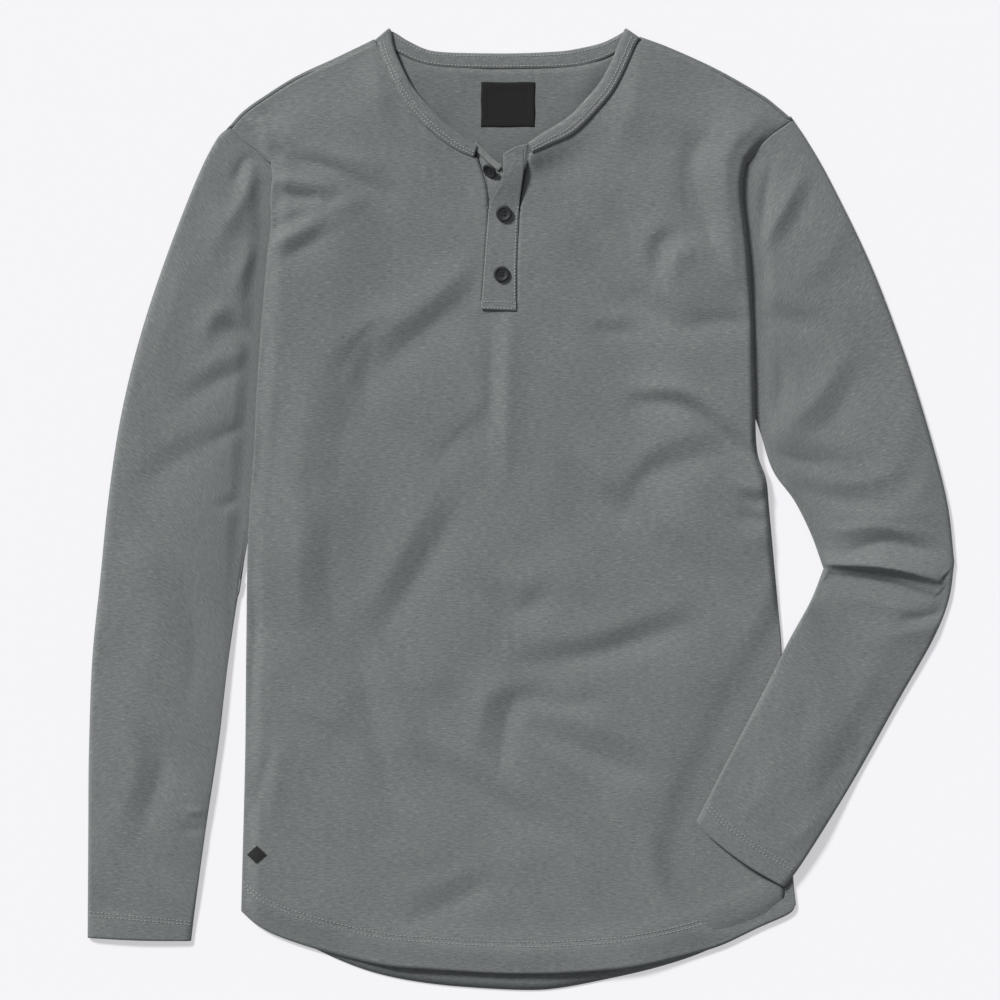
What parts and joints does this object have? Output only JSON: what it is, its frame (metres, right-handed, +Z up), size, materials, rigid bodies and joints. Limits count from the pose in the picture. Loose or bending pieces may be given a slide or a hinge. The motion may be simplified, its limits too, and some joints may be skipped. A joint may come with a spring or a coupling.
{
  "type": "henley shirt",
  "caption": "Long-sleeved knit henley shirt laid flat on its back, with a banded round neck, a buttoned half placket, curved hem and one sleeve folded over the body.",
  "frame": {"origin": "middle of the laid-out shirt's box, on the surface that it lies on", "axes": "+Y from the hem towards the neck, +Z up out of the front, +X to the right of someone looking down at it"},
  "size_m": [0.6764, 0.7509, 0.0119],
  "materials": {
    "jersey": "matt fine cotton jersey, grey-green heather",
    "button": "satin charcoal resin",
    "woven_label": "fine black woven tape, blank",
    "embroidery": "black satin stitch"
  },
  "bodies": {
    "root": {"front": "jersey", "back": "jersey", "sleeve_left": "jersey", "sleeve_right": "jersey", "neckband": "jersey", "placket_under": "jersey", "placket_over": "jersey", "button_1": "button", "button_2": "button", "button_3": "button", "neck_label": "woven_label", "hem_mark": "embroidery"}
  },
  "joints": []
}
